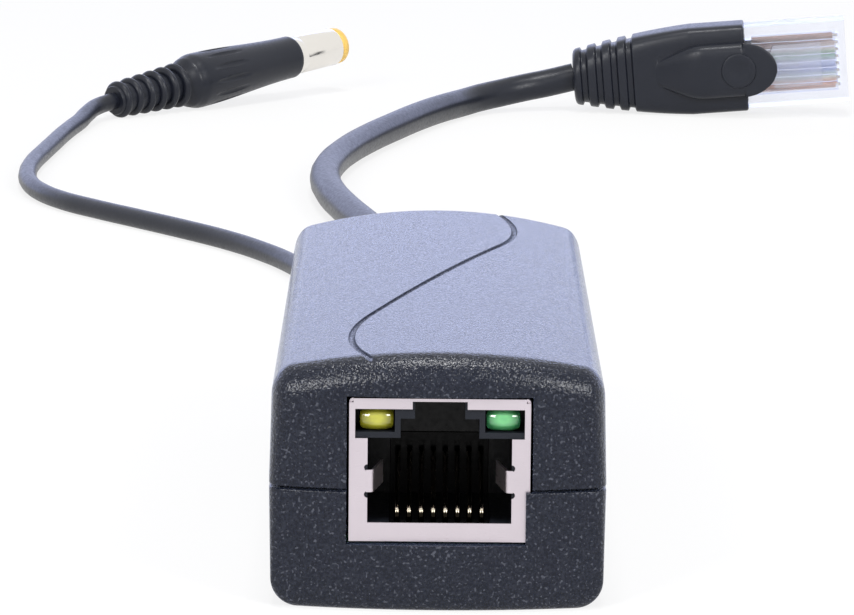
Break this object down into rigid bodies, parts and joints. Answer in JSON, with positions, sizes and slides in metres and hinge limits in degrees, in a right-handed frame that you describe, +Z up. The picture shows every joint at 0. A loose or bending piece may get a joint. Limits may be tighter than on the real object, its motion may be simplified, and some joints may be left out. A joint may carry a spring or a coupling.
{
  "type": "poe converter",
  "caption": "Inline network-power splitter: split plastic case with a shielded network socket in its face, a network lead with a clear plug and a thin lead with a barrel plug.",
  "frame": {"origin": "middle of the case's underside", "axes": "+Y along the case from the socket to the cords, +Z up, +X to the right seen from the socket"},
  "size_m": [0.1148, 0.3397, 0.0218],
  "materials": {
    "case_plastic": "fine spark-eroded texture",
    "shield_metal": "nickel plated sheet",
    "socket_plastic": "satin",
    "contact_gold": "bright plating",
    "yellow_lens": "clear tinted",
    "green_lens": "clear tinted",
    "board": "solder mask",
    "chip_plastic": "moulded",
    "can_sleeve": "shrunk sleeve",
    "disc_coat": "dipped",
    "ferrite": "ground",
    "bobbin_plastic": "moulded",
    "winding": "taped",
    "copper": "enamelled",
    "white_plastic": "moulded",
    "chip_ceramic": "fired",
    "wire_coat": "extruded",
    "power_wire_coat": "extruded",
    "cord_jacket": "soft satin",
    "clear_plastic": "moulded clear",
    "core_coat": "extruded",
    "nickel": "plated",
    "tip_plastic": "moulded"
  },
  "bodies": {
    "root": {"top_shell": "case_plastic", "bottom_shell": "case_plastic", "jack_shield": "shield_metal", "jack_housing": "socket_plastic", "contact_carrier": "socket_plastic", "jack_contacts": "contact_gold", "yellow_led": "yellow_lens", "green_led": "green_lens", "circuit_board": "board", "lan_transformer": "chip_plastic", "bridge_rectifiers": "chip_plastic", "poe_controller": "chip_plastic", "input_capacitor": "can_sleeve", "mosfet": "chip_plastic", "safety_capacitor": "disc_coat", "power_transformer_core": "ferrite", "power_transformer_bobbin": "bobbin_plastic", "power_transformer_winding": "winding", "optocoupler": "white_plastic", "output_capacitor": "can_sleeve", "output_choke": "ferrite", "choke_winding": "copper", "schottky_diode": "chip_plastic", "chip_capacitors": "chip_ceramic", "chip_resistors": "chip_plastic", "network_wires": "wire_coat", "dc_wires": "power_wire_coat", "network_grommet": "cord_jacket", "network_cable": "cord_jacket", "plug_boot": "cord_jacket", "network_plug": "clear_plastic", "plug_contacts": "contact_gold", "plug_wires": "core_coat", "dc_grommet": "cord_jacket", "dc_cord": "cord_jacket", "dc_plug_body": "cord_jacket", "dc_plug_barrel": "nickel", "dc_plug_insulator": "tip_plastic", "dc_plug_contact": "nickel"}
  },
  "joints": []
}
